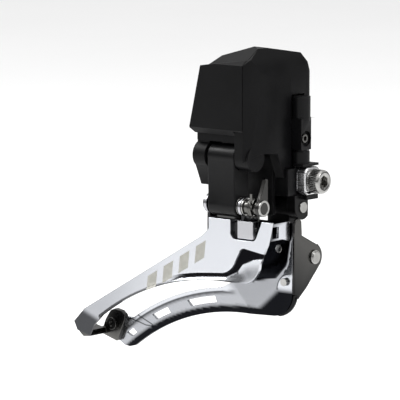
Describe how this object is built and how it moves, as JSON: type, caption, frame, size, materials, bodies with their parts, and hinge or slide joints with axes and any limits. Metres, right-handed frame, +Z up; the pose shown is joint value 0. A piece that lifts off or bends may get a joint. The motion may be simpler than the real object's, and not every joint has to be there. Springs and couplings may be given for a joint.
{
  "type": "front derailleur",
  "caption": "Motor-driven braze-on front derailleur: black housing over a parallelogram that carries a polished chain cage with a clamp bolt and a curved washer.",
  "frame": {"origin": "on the clamp bolt's axis, at the seat face that meets the frame's hanger", "axes": "+X forward along the bicycle and along every pivot, +Y inboard towards the seat tube, +Z up"},
  "size_m": [0.0956, 0.035, 0.113],
  "materials": {
    "housing_resin": "matte, finely textured",
    "anodised_black": "satin anodised",
    "polished_plate": "mirror polished plating with soft gradients",
    "dark_nickel": "smoked nickel plating",
    "bright_steel": "turned and plated",
    "gear_brass": "machined",
    "board_green": "lacquered laminate",
    "seal_rubber": "matte"
  },
  "bodies": {
    "housing": {"main_housing": "housing_resin", "motor_cover": "housing_resin", "cover_gasket": "seal_rubber", "cover_screws": "bright_steel", "mount_bracket": "anodised_black", "bracket_screws": "bright_steel", "inner_upper_pin": "bright_steel", "motor_can": "bright_steel", "gear_plate": "bright_steel", "wheel_axle": "bright_steel", "circuit_board": "board_green", "cable_socket": "housing_resin", "shaft_bushes": "gear_brass"},
    "clamp": {"clamp_bolt": "bright_steel", "radius_washer": "bright_steel"},
    "support_screw": {"support_bolt": "dark_nickel"},
    "motor_rotor": {"motor_shaft": "bright_steel", "motor_pinion": "gear_brass"},
    "reduction_gear": {"reduction_wheel": "gear_brass", "reduction_pinion": "bright_steel"},
    "outer_arm": {"outer_link": "anodised_black", "output_shaft": "bright_steel", "output_sector": "gear_brass", "outer_link_bushes": "gear_brass"},
    "inner_arm": {"inner_link": "anodised_black", "inner_link_bushes": "gear_brass"},
    "cage": {"outer_plate": "polished_plate", "inner_plate": "polished_plate", "cage_bracket": "dark_nickel", "front_bridge": "polished_plate", "rear_bridge": "polished_plate", "front_bracket": "dark_nickel", "outer_lower_pin": "dark_nickel", "inner_lower_pin": "bright_steel", "pin_washers": "bright_steel", "saver_spring": "dark_nickel", "spring_bush": "dark_nickel", "saver_lever": "dark_nickel", "tail_bracket": "dark_nickel", "tail_screw": "dark_nickel", "plate_rivets": "bright_steel"}
  },
  "joints": [
    {"name": "outer_link_swing", "type": "hinge", "parent": "housing", "child": "outer_arm", "pos_m": [-0.0158, -0.022, 0.0092], "axis": [1, 0, 0], "range_deg": [-28, 3]},
    {"name": "inner_link_swing", "type": "hinge", "parent": "housing", "child": "inner_arm", "pos_m": [-0.008, -0.0015, -0.0094], "axis": [1, 0, 0], "range_deg": [-28, 3]},
    {"name": "cage_level", "type": "hinge", "parent": "outer_arm", "child": "cage", "pos_m": [-0.0158, -0.022, -0.0078], "axis": [1, 0, 0], "range_deg": [-3, 28]},
    {"name": "reduction_spin", "type": "hinge", "parent": "housing", "child": "reduction_gear", "pos_m": [-0.006, -0.01625, 0.01916], "axis": [1, 0, 0], "range_deg": [-10.8, 100.8]},
    {"name": "motor_spin", "type": "hinge", "parent": "housing", "child": "motor_rotor", "pos_m": [-0.01, -0.01392, 0.02785], "axis": [1, 0, 0], "range_deg": [-262.08, 28.08]},
    {"name": "clamp_bolt_travel", "type": "slide", "parent": "housing", "child": "clamp", "axis": [1, 0, 0], "range_m": [0, 0.004]},
    {"name": "support_bolt_travel", "type": "slide", "parent": "housing", "child": "support_screw", "axis": [1, 0, 0], "range_m": [-0.0005, 0.004]}
  ],
  "couplings": [
    {"joint": "inner_link_swing", "follows": "outer_link_swing", "ratio": 1},
    {"joint": "cage_level", "follows": "outer_link_swing", "ratio": -1},
    {"joint": "reduction_spin", "follows": "outer_link_swing", "ratio": -3.6},
    {"joint": "motor_spin", "follows": "outer_link_swing", "ratio": 9.36}
  ]
}
